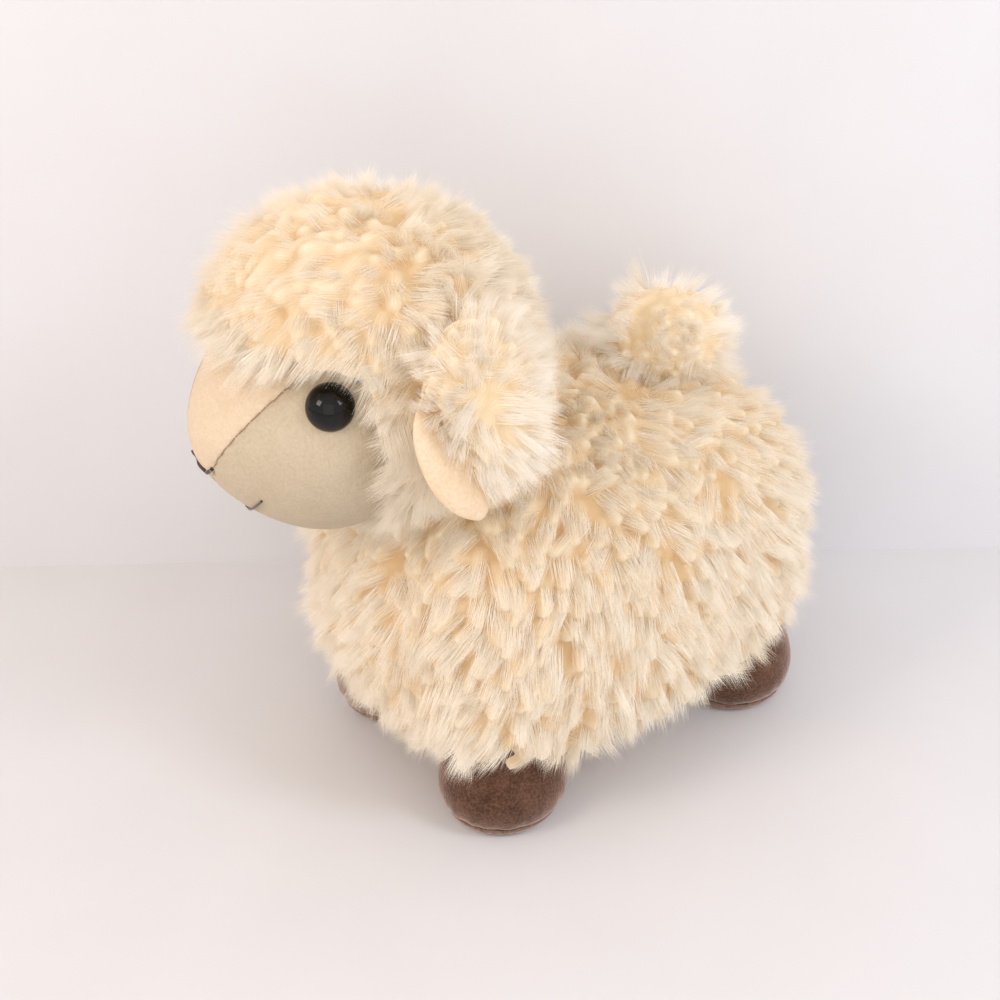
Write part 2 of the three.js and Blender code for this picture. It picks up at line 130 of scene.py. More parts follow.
# Polyester long-pile fleece: brushed cream fibres. Painted shade turns them tan towards their roots and in
# the hollows between tufts. The map holds a place across the fibres in U and the height in V: up to
# CLING_HEIGHT where fibres cling together in a tuft, and from LOOSE_HEIGHT up for loose ones. A faint glow
# stands for the light that crosses the thin fibres from behind.
def pile_material(name, root, middle, tip):
    material, tree, shader = finish(
        name,
        **{"Roughness": 0.9, "Sheen Weight": 0.1, "Specular IOR Level": 0.1, "Emission Strength": 0.055},
    )
    uv = add(tree, "ShaderNodeUVMap", uv_map="OFBake")
    parts = add(tree, "ShaderNodeSeparateXYZ", {"Vector": uv.outputs["UV"]})
    # Painted shade: tan at the roots and in the hollows, cream at the tips.
    heights = [(0, root), (CLING_HEIGHT, middle), (0.8, tip)]
    along = add(tree, "ShaderNodeValToRGB", {"Fac": parts.outputs["Y"]}, heights)
    strands = add(
        tree,
        "ShaderNodeTexNoise",
        {"W": parts.outputs["X"], "Scale": STRANDS},
        noise_dimensions="1D",
    )
    shade = add(
        tree,
        "ShaderNodeMapRange",
        {
            "Value": strands.outputs["Fac"],
            "From Min": 0.25,
            "From Max": 0.75,
            "To Min": 0.9,
            "To Max": 1.04,
        },
    )
    tinted = add(
        tree,
        "ShaderNodeHueSaturation",
        {"Color": along.outputs["Color"], "Value": shade.outputs["Result"]},
    )
    tree.links.new(tinted.outputs["Color"], shader.inputs["Base Color"])
    tree.links.new(tinted.outputs["Color"], shader.inputs["Emission Color"])
    return material


# Painted light and shade on the face cloth runs along FADE_ALONG, between FADE_FROM and FADE_TO.
FADE_ALONG = (0, 0.7, -0.7)  # backwards and down
FADE_FROM, FADE_TO = -180, -125  # mm along it, from the brow to the back of the chin


# Short-pile velour: a clipped nap that lies in soft patches and lightens at a grazing angle. Its fade is
# painted
# light and shade: how much lighter the colour is painted towards the brow, and how much darker towards the
# back of the chin.
def velour_material(name, low, high, sheen, sheen_colour, nap_mm, patch_mm, shade_fade=0.0):
    material, tree, shader = finish(
        name,
        **{
            "Roughness": 0.9,
            "Specular IOR Level": 0.1,
            "Sheen Weight": sheen,
            "Sheen Roughness": 0.4,
            "Sheen Tint": ink(sheen_colour),
        },
    )
    where = add(tree, "ShaderNodeTexCoord").outputs["Object"]
    patch = add(tree, "ShaderNodeTexNoise", {"Vector": where, "Scale": 1 / (patch_mm * MM), "Detail": 3.0})
    nap = add(tree, "ShaderNodeTexNoise", {"Vector": where, "Scale": 1 / (nap_mm * MM), "Detail": 2.0})
    bump = add(
        tree,
        "ShaderNodeBump",
        {"Height": nap.outputs["Fac"], "Strength": 0.6, "Distance": 0.4 * MM},
    )
    both = add(
        tree,
        "ShaderNodeMix",
        {"Factor": 0.6, "A": patch.outputs["Fac"], "B": nap.outputs["Fac"]},
        data_type="FLOAT",
    )
    shades = [(0.35, low), (0.65, high)]
    colour = add(tree, "ShaderNodeValToRGB", {"Fac": both.outputs["Result"]}, shades)
    # Painted shade: darker from the brow back towards the chin.
    back = add(tree, "ShaderNodeVectorMath", {0: where, 1: FADE_ALONG}, operation="DOT_PRODUCT")
    painted_shading = add(
        tree,
        "ShaderNodeMapRange",
        {
            "Value": back.outputs["Value"],
            "From Min": FADE_FROM * MM,
            "From Max": FADE_TO * MM,
            "To Min": 1 + shade_fade,
            "To Max": 1 - shade_fade,
        },
        interpolation_type="SMOOTHSTEP",
    )
    tinted = add(
        tree,
        "ShaderNodeHueSaturation",
        {"Color": colour.outputs["Color"], "Value": painted_shading.outputs["Result"]},
    )
    tree.links.new(tinted.outputs["Color"], shader.inputs["Base Color"])
    tree.links.new(bump.outputs["Normal"], shader.inputs["Normal"])
    return material


fleece = pile_material("cream polyester fleece", "#d9b78a", "#efddbe", "#fcf2e1")
# The ears and the tail take a lighter copy of the same fleece: painted light on tufts that would show their
# shaded undersides.
ear_tail_pile_painted_light = pile_material("cream ear and tail fleece, painted light", "#e8cca1", "#f7e7cb", "#fff6e8")
FACE_NAP = {"sheen": 0.2, "sheen_colour": "#fff0dc", "nap_mm": 0.9, "patch_mm": 9}
FOOT_NAP = {"sheen": 1.0, "sheen_colour": "#ffe4d6", "nap_mm": 0.9, "patch_mm": 8}
# The nose and the cheeks are one velour. The nose's copy is lighter and peachier, and the cheeks' copy is
# darker and olive, partly as the nap lies another way and partly as painted light and shade.
nose_velour = velour_material("peach short-pile velour", "#e1c9aa", "#ead5b9", **FACE_NAP)
cheek_velour_painted_shade = velour_material("olive-beige short-pile velour, painted shade", "#bcab91", "#c7b79e", **FACE_NAP, shade_fade=0.11)
lining_velour = velour_material("peach ear lining", "#e9cba6", "#f3dcbd", **FACE_NAP)
foot_velour = velour_material("brown velvet", "#402a1d", "#735240", **FOOT_NAP)
# The sole is the feet's brown velvet painted lighter: painted sheen below the sole seam.
sole_velour = velour_material("brown velvet, painted sheen", "#6f5345", "#967a69", **FOOT_NAP)


# Black ABS safety eye: polished, with a hard reflection and a faint haze of dust.
def eye_material():
    material, tree, shader = finish("black safety eye plastic", **{"IOR": 1.45, "Specular IOR Level": 0.35})
    where = add(tree, "ShaderNodeTexCoord").outputs["Object"]
    haze = add(tree, "ShaderNodeTexNoise", {"Vector": where, "Scale": 1 / (1.5 * MM), "Detail": 3.0})
    blacks = [(0.3, "#0b0808"), (0.8, "#15100f")]
    colour = add(tree, "ShaderNodeValToRGB", {"Fac": haze.outputs["Fac"]}, blacks)
    dull = add(tree, "ShaderNodeMapRange", {"Value": haze.outputs["Fac"], "To Min": 0.03, "To Max": 0.09})
    tree.links.new(colour.outputs["Color"], shader.inputs["Base Color"])
    tree.links.new(dull.outputs["Result"], shader.inputs["Roughness"])
    return material


# Rayon embroidery floss or sewing thread, with darker and lighter plies.
def floss_material(name, low, high):
    material, tree, shader = finish(name, **{"Roughness": 0.5, "Sheen Weight": 0.3})
    where = add(tree, "ShaderNodeTexCoord").outputs["Object"]
    ply = add(tree, "ShaderNodeTexNoise", {"Vector": where, "Scale": 1 / (0.7 * MM), "Detail": 2.0})
    colour = add(tree, "ShaderNodeValToRGB", {"Fac": ply.outputs["Fac"]}, [(0.35, low), (0.7, high)])
    tree.links.new(colour.outputs["Color"], shader.inputs["Base Color"])
    return material


# Polyester fibre filling: white, matt and cloudy.
def filling_material():
    material, tree, shader = finish("polyester filling", **{"Roughness": 1.0})
    where = add(tree, "ShaderNodeTexCoord").outputs["Object"]
    cloud = add(tree, "ShaderNodeTexNoise", {"Vector": where, "Scale": 1 / (6 * MM), "Detail": 6.0})
    whites = [(0.3, "#dcd8ce"), (0.7, "#f6f4ee")]
    colour = add(tree, "ShaderNodeValToRGB", {"Fac": cloud.outputs["Fac"]}, whites)
    tree.links.new(colour.outputs["Color"], shader.inputs["Base Color"])
    return material


# Nylon lock washer, moulded.
def washer_material():
    material, tree, shader = finish("moulded nylon", **{"Roughness": 0.5, "IOR": 1.53})
    where = add(tree, "ShaderNodeTexCoord").outputs["Object"]
    haze = add(tree, "ShaderNodeTexNoise", {"Vector": where, "Scale": 1 / (3 * MM)})
    whites = [(0.3, "#dedbd0"), (0.7, "#efede6")]
    colour = add(tree, "ShaderNodeValToRGB", {"Fac": haze.outputs["Fac"]}, whites)
    tree.links.new(colour.outputs["Color"], shader.inputs["Base Color"])
    return material


eye_black = eye_material()
floss = floss_material("brown embroidery floss", "#2a1811", "#553727")
seam_thread = floss_material("tan sewing thread", "#92745a", "#b39475")
filling = filling_material()
nylon = washer_material()


# Pieces


def piece(name, bm, material, body, slot, *nodes):
    """The bmesh, in millimetres, as a finished piece that rides on a body and stands for the nodes."""
    bmesh.ops.scale(bm, vec=(MM, MM, MM), verts=bm.verts)
    mesh = bpy.data.meshes.new(name)
    bm.to_mesh(mesh)
    bm.free()
    mesh.shade_smooth()
    mesh.materials.append(material)
    made = bpy.data.objects.new(name, mesh)
    bpy.context.scene.collection.objects.link(made)
    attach(made, body)
    if nodes:
        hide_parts(*nodes)
    return made


def ahead(side, rise):
    """Unit vector at an angle to the lamb's left of straight ahead and an angle above it."""
    across, up = math.radians(side), math.radians(rise)
    return Vector((math.sin(across) * math.cos(up), -math.cos(across) * math.cos(up), math.sin(up)))


def plump(direction, half, fullness):
    """Where a ray leaves a rounded box; fullness 2 is an ellipsoid, and more is squarer."""
    total = sum(abs(share) ** fullness for share in direction)
    return Vector([a * b for a, b in zip(direction, half)]) * total ** (-1 / fullness)


def body_skin(direction):
    downwards = max(0.0, -direction.z)
    point = plump(direction, BODY_HALF, BACK_FULLNESS + (BELLY_FULLNESS - BACK_FULLNESS) * downwards)
    towards_rump = max(0.0, point.y / BODY_HALF.y)
    below_middle = max(0.0, -point.z / BODY_HALF.z)
    point.z += RUMP_TUCK * towards_rump**2 * below_middle
    return point + BODY_MIDDLE


def forelock(direction):
    """1 at the middle of the forelock, falling to 0 round it."""
    return max(0.0, direction.dot(ahead(0, FORELOCK_RISE))) ** 4


def head_ball(direction):
    return plump(direction, HEAD_HALF, 2) + HEAD_MIDDLE


def head_skin(direction):
    return head_ball(direction) + direction * FORELOCK_SWELL * forelock(direction)


def face_skin(direction):
    point = plump(direction, FACE_HALF, 2)
    narrowing = 1 - MUZZLE_TAPER * max(0.0, -point.y / FACE_HALF.y) ** 2
    return Vector((point.x * narrowing, point.y, point.z * narrowing)) + FACE_MIDDLE


def skin_normal(skin, direction):
    """Outward normal of a skin, from its slopes over a small step."""
    step = 0.01
    across = Vector((-direction.y, direction.x, 0)).normalized()
    up = direction.cross(across)
    slopes = [
        skin((direction + axis * step).normalized()) - skin((direction - axis * step).normalized())
        for axis in (across, up)
    ]
    return slopes[0].cross(slopes[1]).normalized()


def eye_place(side):
    """Middle of an eye on the face, and the way it looks."""
    direction = ahead(side * EYE_SIDE, EYE_RISE)
    return face_skin(direction), skin_normal(face_skin, direction)


EYES = {side: eye_place(sign) for side, sign in SIDES.items()}


def formed(skin, subdivisions, inset=0.0):
    """A ball drawn out to a skin, and then moved in along its normals."""
    bm = bmesh.new()
    bmesh.ops.create_icosphere(bm, subdivisions=subdivisions, radius=1)
    for vert in bm.verts:
        vert.co = skin(vert.co.normalized())
    bm.normal_update()
    for vert, normal in [(v, v.normal.copy()) for v in bm.verts]:
        vert.co -= normal * inset
    return bm


def smooth_copy(node, voxel, rounds, inset):
    """A solid's mesh in millimetres, remeshed evenly, smoothed, and moved in along its normals."""
    bm = bmesh.new()
    bm.from_mesh(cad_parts[node].data)
    bmesh.ops.remove_doubles(bm, verts=bm.verts, dist=0.001 * MM)
    mesh = bpy.data.meshes.new("rough")
    bm.to_mesh(mesh)
    bm.free()
    rough = bpy.data.objects.new("rough", mesh)
    bpy.context.scene.collection.objects.link(rough)
    remesh = rough.modifiers.new("even", "REMESH")
    remesh.mode = "VOXEL"
    remesh.voxel_size = voxel * MM
    smooth = rough.modifiers.new("smooth", "SMOOTH")
    smooth.iterations = rounds
    even = bpy.data.meshes.new_from_object(rough.evaluated_get(bpy.context.evaluated_depsgraph_get()))
    bpy.data.objects.remove(rough)
    bm = bmesh.new()
    bm.from_mesh(even)
    bmesh.ops.scale(bm, vec=(1 / MM,) * 3, verts=bm.verts)
    bm.normal_update()
    for vert, normal in [(v, v.normal.copy()) for v in bm.verts]:
        vert.co -= normal * inset
    return bm


# Fleece

ROOT_DEPTH = 5.8  # roots of the body's tufts below the fleece's outside
CROWN_DEPTH = 0.2  # highest part of the clinging fibres below it
CLUMP_DEPTH = 2.4  # depth of the hollows between clumps
HOLLOW = 4.0  # depth of the gaps between the tufts of a clump
TRIES = 5  # points thrown on each square of the spacing
NEAREST = 9  # tufts that may cover one point
TUFT_MIDDLE = 0.6  # where a tuft is looked up, over its length
FOOT_HEIGHT = 0.35  # of a tuft, over its height at the tip
TINT_EDGE = 0.1  # room in the map for the place across a tuft, on each side of its shade
LEAN_SPREAD = 8  # degrees
WISPS = 24  # different wisps
WISP_FIBRES = 12
WISP_WIDTH = 0.55  # over the tuft's half width
FIBRE_RADIUS = 0.07  # over the wisp's half width
FIBRE_SIDES = 3
FIBRE_LENGTH, FIBRE_EXTRA = 0.75, 0.3  # over the wisp's length
FIBRE_SHEAR, FIBRE_SPIN = 0.4, 0.6  # widest spread, as a slope and in radians
FIBRE_TINT = 0.37  # step in the map from one fibre to the next
ROOT_DROP = 0.1  # of loose fibres below the tuft's foot, over its length
TIP_REACH, TIP_EXTRA = 0.95, 0.2  # of loose fibres, over the tuft's length
TIP_SPLAY = 0.3  # further spread of the tips over the tuft's half width


def wisp(shade):
    """Pointed fibres side by side, roots at z = 0 and tips near z = 1, each with a flat side towards +Y.
    Gives a mesh and its vertices' places."""
    bm = bmesh.new()
    for turn in range(WISP_FIBRES):
        angle = 2 * math.pi * (turn + rng.random()) / WISP_FIBRES
        reach = math.sqrt(rng.random())
        length = FIBRE_LENGTH + FIBRE_EXTRA * rng.random()
        shear = (FIBRE_SHEAR * (rng.random() - 0.5), FIBRE_SHEAR * (rng.random() - 0.5))
        lean = Matrix.Shear("XY", 4, shear)
        place = Matrix.Translation((reach * math.cos(angle), reach * math.sin(angle), length / 2))
        spin = Matrix.Rotation(math.pi + FIBRE_SPIN * (rng.random() - 0.5), 4, "Z")
        bmesh.ops.create_cone(
            bm,
            cap_ends=True,
            segments=FIBRE_SIDES,
            radius1=FIBRE_RADIUS,
            radius2=0,
            depth=length,
            matrix=lean @ place @ spin,
        )
    bake = bm.loops.layers.uv.new("OFBake")
    for number, face in enumerate(bm.faces):
        tint = (shade + number // (FIBRE_SIDES + 1) * FIBRE_TINT) % 1
        for corner in face.loops:
            # Loose fibres take only the lighter part of the ramp: painted light against their shading of
            # each other.
            height = LOOSE_HEIGHT + (1 - LOOSE_HEIGHT) * max(0, corner.vert.co.z)
            corner[bake].uv = (tint, min(1, height))
    mesh = bpy.data.meshes.new("wisp")
    bm.to_mesh(mesh)
    bm.free()
    places = np.empty(3 * len(mesh.vertices))
    mesh.vertices.foreach_get("co", places)
    return mesh, places.reshape(-1, 3)


wisps = [wisp((number + 0.5) / WISPS) for number in range(WISPS)]


def scattered(bm, spacing, keep):
    """Points on a skin, no two closer than the spacing, with their normals; keep says which stay."""
    bm.normal_update()
    corners = np.array([[v.co for v in f.verts] for f in bm.faces])
    normals = np.array([f.normal for f in bm.faces])
    sides = np.cross(corners[:, 1] - corners[:, 0], corners[:, 2] - corners[:, 0])
    areas = np.linalg.norm(sides, axis=1) / 2
    count = int(TRIES * areas.sum() / spacing**2)
    faces = rng.choice(len(areas), count, p=areas / areas.sum())
    a, b = np.sqrt(rng.random(count)), rng.random(count)
    weights = np.stack([1 - a, a * (1 - b), a * b], axis=1)
    points = np.einsum("ij,ijk->ik", weights, corners[faces])
    taken, found = {}, []
    for point, normal in zip(points, normals[faces]):
        cell = tuple(np.floor(point / spacing).astype(int))
        near = [
            other
            for x in (-1, 0, 1)
            for y in (-1, 0, 1)
            for z in (-1, 0, 1)
            for other in taken.get((cell[0] + x, cell[1] + y, cell[2] + z), ())
        ]
        if any(np.sum((point - other) ** 2) < spacing**2 for other in near):
            continue
        taken.setdefault(cell, []).append(point)
        if keep(Vector(point), Vector(normal)):
            found.append((Vector(point), Vector(normal)))
    return found


def ruffled(point, grain_mm, patchy, stray):
    """A random vector for a tuft: patchy is how strongly neighbours turn the same way, and stray how far
    each goes its own way."""
    return noise.noise_vector(point / grain_mm) * patchy + Vector(rng.normal(size=3)) * stray


def combed(roots, comb):
    """Tufts on the roots: foot, unit vector to the tip, length, shade and the skin's normal. comb gives
    the length and the vector."""
    tufts = []
    for point, normal in roots:
        length, direction = comb(point, normal)
        tufts.append((np.array(point), np.array(direction), length, rng.random(), np.array(normal)))
    return tufts


def clump_crowns(skin, count):
    """Crowns of the clumps of wool on a skin, evenly spread along a spiral from its rear to its front."""
    turns = np.arange(count) * math.pi * (3 - math.sqrt(5))
    leans = np.arccos(1 - (2 * np.arange(count) + 1) / count)
    tree = kdtree.KDTree(count)
    for number, (turn, lean) in enumerate(zip(turns, leans)):
        ray = Vector((math.sin(lean) * math.sin(turn), math.cos(lean), math.sin(lean) * math.cos(turn)))
        tree.insert(skin(ray), number)
    tree.balance()
    return tree


def between_clumps(crowns, point):
    """0 at a crown, rising evenly to 1 half way to the next."""
    (_, _, near), (_, _, next_near) = crowns.find_n(point, 2)
    return 2 * near / (near + next_near)


def relief(bm, tufts, half_width, depth, hollow, crowns=None):
    """Draws a skin into clumps and into overlapping tufts, each rising from its foot to its tip. The map
    that the pile's material reads gets the place across the tuft and the height."""
    tree = kdtree.KDTree(len(tufts))
    for number, (foot, direction, length, _, _) in enumerate(tufts):
        tree.insert(foot + direction * length * TUFT_MIDDLE, number)
    tree.balance()
    feet = np.array([t[0] for t in tufts])
    runs = np.array([t[1] * t[2] for t in tufts])
    shades = np.array([t[3] for t in tufts])
    bm.normal_update()
    places = np.array([v.co for v in bm.verts])
    normals = np.array([v.normal for v in bm.verts])[:, None]
    near = np.array([[number for _, number, _ in tree.find_n(v.co, NEAREST)] for v in bm.verts])
    away = places[:, None] - feet[near]
    away -= np.sum(away * normals, axis=2, keepdims=True) * normals
    run = runs[near] - np.sum(runs[near] * normals, axis=2, keepdims=True) * normals
    reach = np.linalg.norm(run, axis=2) + 1e-6
    run /= reach[..., None]
    along = np.clip(np.sum(away * run, axis=2), 0, reach)
    aside = away - along[..., None] * run
    gap = np.linalg.norm(aside, axis=2) / half_width
    height = (FOOT_HEIGHT + (1 - FOOT_HEIGHT) * along / reach) * np.clip(1 - gap**2, 0, 1)
    best = np.argmax(height, axis=1)[:, None]
    heights = np.take_along_axis(height, best, axis=1)[:, 0]
    sides = np.sign(np.sum(np.cross(run, aside) * normals, axis=2))
    across = np.take_along_axis(np.clip(gap, 0, 1) * sides, best, axis=1)[:, 0]
    shade = shades[np.take_along_axis(near, best, axis=1)[:, 0]]
    tints = TINT_EDGE + (1 - 2 * TINT_EDGE) * shade + TINT_EDGE * across
    for vert, normal, height in zip(bm.verts, normals[:, 0], heights):
        sunk = CLUMP_DEPTH * between_clumps(crowns, vert.co) if crowns else 0
        vert.co -= Vector(normal) * (depth + sunk + hollow * (1 - height))
    # The height goes into the map, where the pile's material paints the low cloth tan as painted shade.
    bake = bm.loops.layers.uv.new("OFBake")
    for face in bm.faces:
        for corner in face.loops:
            corner[bake].uv = (tints[corner.vert.index], CLING_HEIGHT * heights[corner.vert.index])
    return bm


def pile(name, tufts, material, body, slot, wisp_count, half_width, scatter=0.5):
    """Loose fibres along the tufts, from below their feet to about their tips; scatter is the spread of the
    roots over the half width."""
    bm = bmesh.new()
    for foot, direction, length, _, normal in tufts:
        across = np.cross(normal, direction) + 1e-6
        across /= np.linalg.norm(across)
        beside = np.cross(direction, across)
        for _ in range(wisp_count):
            mesh, places = wisps[rng.integers(WISPS)]
            spread = rng.normal(size=2) * scatter * half_width
            splay = rng.normal(size=2) * TIP_SPLAY * half_width + spread
            root = foot - direction * length * ROOT_DROP + across * spread[0] - beside * abs(spread[1])
            reach = TIP_REACH + TIP_EXTRA * rng.random()
            end = foot + direction * length * reach + across * splay[0] + beside * splay[1]
            placed = root + places[:, 2:3] * (end - root)
            placed += WISP_WIDTH * half_width * (places[:, 0:1] * across + places[:, 1:2] * beside)
            mesh.vertices.foreach_set("co", placed.ravel())
            bm.from_mesh(mesh)
    piece(name, bm, material, body, slot).data.shade_flat()


def leant(normal, towards, degrees):
    """The normal leant over by an angle towards another vector."""
    flat = towards - normal * towards.dot(normal)
    if flat.length < 1e-6:
        return normal.copy()
    lean = math.radians(degrees)
    return (normal * math.cos(lean) + flat.normalized() * math.sin(lean)).normalized()


CLOTH = 1.2  # thickness of knitted cloth


def thicken(made, mm):
    """Gives a skin of cloth its thickness, inwards."""
    solidify = made.modifiers.new("cloth", "SOLIDIFY")
    solidify.thickness = mm * MM
    solidify.offset = -1


# Body

FRONT_HEM, REAR_HEM = 26, 41  # lowest tips over the feet
HEM_RISE = 50  # length over which the one turns into the other
HEM_REACH = 62  # from the middle of a leg
HEM_EDGE = 3  # the wool is drawn up in full from a third inside that reach
LEG_TOP = 37  # below it no tufts grow inside a leg
HEAD_OVERLAP = 3  # of the body's tufts under the head's wool
TAIL_BARE = 15  # round the tail's root
BODY_TUFT, BODY_TUFT_SPREAD = 13, 1.3  # length
SHORTEST_TUFT = 5  # shorter ones at the hem are left out
BODY_LEAN, BACK_LEAN = 55, 8  # degrees from the normal, and more on the back
PARTING = 30  # Y where the tufts turn from forwards to backwards
# From the middle line and from the parting to where tufts point outwards as much as down
FULL_SIDE, FULL_END = 80, 90
# Bounds of the sectors of loose pile, over the body's half size
BACK_EDGE, BELLY_EDGE, END_EDGE = 0.6, -0.65, 0.6

bm = smooth_copy("body_stuffing", voxel=4, rounds=6, inset=1.0)
piece("body_filling", bm, filling, "body", "stuffing", "body_stuffing")


def beside_leg(point):
    """How far a point lies from the middle of the nearest leg, seen from above."""
    return min(math.hypot(point.x - hip.x, point.y - hip.y) for hip, _ in HIPS.values())


def in_leg(point):
    return point.z < LEG_TOP and beside_leg(point) < HIP_RADIUS


def on_body(point, normal):
    clear_head = (point - HEAD_MIDDLE).length > HEAD_HALF.y - HEAD_OVERLAP
    clear_tail = (point - TAIL_ROOT).length > TAIL_BARE
    return clear_head and clear_tail and not in_leg(point)


def body_comb(point, normal):
    wild = ruffled(point, grain_mm=20, patchy=0.9, stray=0.3)
    towards = Vector((point.x / FULL_SIDE, (point.y - PARTING) / FULL_END, -1)) + wild
    lean = BODY_LEAN + BACK_LEAN * max(0, normal.z) + LEAN_SPREAD * rng.normal()
    length = BODY_TUFT + BODY_TUFT_SPREAD * rng.normal()
    return length, leant(normal, towards, lean)


def hem_height(point):
    """How high the fleece ends over the feet."""
    share = min(1, max(0, (point.y - BODY_MIDDLE.y) / HEM_RISE))
    return FRONT_HEM + (REAR_HEM - FRONT_HEM) * share


def hemmed(tufts):
    """The tufts, shortened where their tips would hang over a foot."""
    kept = []
    for foot, direction, length, shade, normal in tufts:
        tip = Vector(foot + direction * length)
        hem = hem_height(tip)
        if tip.z < hem and beside_leg(tip) < HEM_REACH:
            length *= (foot[2] - hem) / max(0.1, foot[2] - tip.z)
        if length > SHORTEST_TUFT:
            kept.append((foot, direction, length, shade, normal))
    return kept


body_roots = scattered(formed(body_skin, 5, inset=ROOT_DEPTH), spacing=5.0, keep=on_body)
body_tufts = hemmed(combed(body_roots, body_comb))
bm = relief(
    formed(body_skin, 7),
    body_tufts,
    half_width=2.8,
    depth=CROWN_DEPTH,
    hollow=HOLLOW,
    crowns=clump_crowns(body_skin, BODY_CLUMPS),
)
for vert in bm.verts:
    under = max(0.0, hem_height(vert.co) - vert.co.z)
    vert.co.z += under * min(1, HEM_EDGE * max(0, 1 - beside_leg(vert.co) / HEM_REACH))
piece("body_wool", bm, fleece, "body", "fleece", "body_fleece")
SECTORS = {"chest": [], "left_flank": [], "right_flank": [], "rump": [], "back": [], "belly": []}
for tuft in body_tufts:
    away = Vector(tuft[0]) - BODY_MIDDLE
    height = away.z / BODY_HALF.z
    if height > BACK_EDGE:
        sector = "back"
    elif height < BELLY_EDGE:
        sector = "belly"
    elif away.y < -END_EDGE * BODY_HALF.y:
        sector = "chest"
    elif away.y > END_EDGE * BODY_HALF.y:
        sector = "rump"
    else:
        sector = "left_flank" if away.x > 0 else "right_flank"
    SECTORS[sector].append(tuft)
for sector, tufts in SECTORS.items():
    pile(f"{sector}_pile", tufts, fleece, "body", "fleece", wisp_count=9, half_width=2.7, scatter=0.6)

# Head

HAIRLINE_SLOPE, HAIRLINE_BACK = 15, 4
HAIRLINE_NORMAL = ahead(0, -HAIRLINE_SLOPE)
HAIRLINE = FACE_MIDDLE - HAIRLINE_NORMAL * HAIRLINE_BACK
BROW_SLOPE, BROW_RISE = 78, 28
BROW_NORMAL = -ahead(180, BROW_SLOPE)
BROW = FACE_MIDDLE + UP * BROW_RISE
NECK_OVERLAP = 3  # of the head's tufts into the body's wool
HEAD_TUFT, HEAD_TUFT_SPREAD = 10.5, 0.8  # length
HEAD_LEAN, HAIRLINE_LEAN = 53, 10  # degrees from the normal, and more at the hairline
HAIRLINE_REACH = 14  # width of the band where the tufts turn towards the face
OVER_FACE = AHEAD - UP * 0.6  # the way they turn there, and on the forelock
HAIRLINE_PULL, FORELOCK_PULL = 1.2, 0.8  # how strongly
HAIRLINE_LONGER, FORELOCK_LONGER = 1.5, FORELOCK_SWELL + 2  # by which the tufts there are longer
HEAD_FALL = 40  # elsewhere: pull downwards, beside the distance from the middle as pull outwards
HEAD_FULL = 90  # the distance that counts as a pull of 1
FORELOCK_BACK = 12  # end of the forelock, ahead of the middle of the head
EYE_ROOM, ROOM_ABOVE = 12.5, 2.5  # no tuft hangs closer to an eye, and more room above it
LOOKED_AT = (0.7, 1, 1.15)  # places on a tuft where that is tried, over its length
TRIMS = (1, 0.8, 0.6, 0.45, 0.3)  # shares of its length to which a tuft may be cut

bm = smooth_copy("head_stuffing", voxel=3, rounds=6, inset=1.0)
piece("head_filling", bm, filling, "head", "stuffing", "head_stuffing")


def behind_hairline(point):
    """How far a point lies outside the face window, in millimetres; negative inside it."""
    return max(-(point - HAIRLINE).dot(HAIRLINE_NORMAL), -(point - BROW).dot(BROW_NORMAL))


def inside(point, skin, middle, margin):
    """Whether a point lies below a skin by more than the margin."""
    away = point - middle
    return away.length < (skin(away.normalized()) - middle).length - margin


def on_head(point, normal):
    in_face = inside(point, face_skin, FACE_MIDDLE, 0)
    in_body = inside(point, body_skin, BODY_MIDDLE, NECK_OVERLAP)
    return behind_hairline(point) > 0 and not in_face and not in_body


def head_comb(point, normal):
    wild = ruffled(point, grain_mm=14, patchy=1.3, stray=0.3)
    lock = forelock(normal)
    near = max(0.0, 1 - behind_hairline(point) / HAIRLINE_REACH)
    away = point - HEAD_MIDDLE
    pull = HAIRLINE_PULL * near + FORELOCK_PULL * lock
    towards = OVER_FACE * pull + Vector((away.x, away.y, -HEAD_FALL)) / HEAD_FULL + wild
    lean = HEAD_LEAN + HAIRLINE_LEAN * near + LEAN_SPREAD * rng.normal()
    usual = HEAD_TUFT + FORELOCK_LONGER * lock + HAIRLINE_LONGER * near
    length = usual + HEAD_TUFT_SPREAD * rng.normal()
    return length, leant(normal, towards, lean)


def over_eye(tuft):
    """Whether some part of a tuft hangs too close to an eye; more room is left above it."""
    foot, direction, length = tuft[:3]
    for share in LOOKED_AT:
        point = Vector(foot + direction * length * share)
        for middle, _ in EYES.values():
            away = point - middle
            if away.length < EYE_ROOM + ROOM_ABOVE * max(0, away.z / away.length):
                return True
    return False


def trimmed(tufts):
    """The tufts, shortened where they would hang over an eye."""
    kept = []
    for foot, direction, length, shade, normal in tufts:
        shorter = [(foot, direction, length * share, shade, normal) for share in TRIMS]
        kept += [t for t in shorter if not over_eye(t)][:1]
    return kept


head_roots = scattered(formed(head_ball, 5, inset=5.2), spacing=4.0, keep=on_head)
head_tufts = trimmed(combed(head_roots, head_comb))
bm = relief(
    formed(head_skin, 7),
    head_tufts,
    half_width=3.2,
    depth=1.2,
    hollow=0.6 * HOLLOW,
    crowns=clump_crowns(head_skin, HEAD_CLUMPS),
)
for normal, point in ((HAIRLINE_NORMAL, HAIRLINE), (BROW_NORMAL, BROW)):
    geom = bm.verts[:] + bm.edges[:] + bm.faces[:]
    bmesh.ops.bisect_plane(bm, geom=geom, plane_co=point, plane_no=normal)
window = [face for face in bm.faces if behind_hairline(face.calc_center_median()) < 0]
bmesh.ops.delete(bm, geom=window, context="FACES")
head_wool = piece("head_wool", bm, fleece, "head", "fleece", "head_fleece")
thicken(head_wool, CLOTH)
HEAD_PARTS = {"forelock": [], "left_crown": [], "right_crown": []}
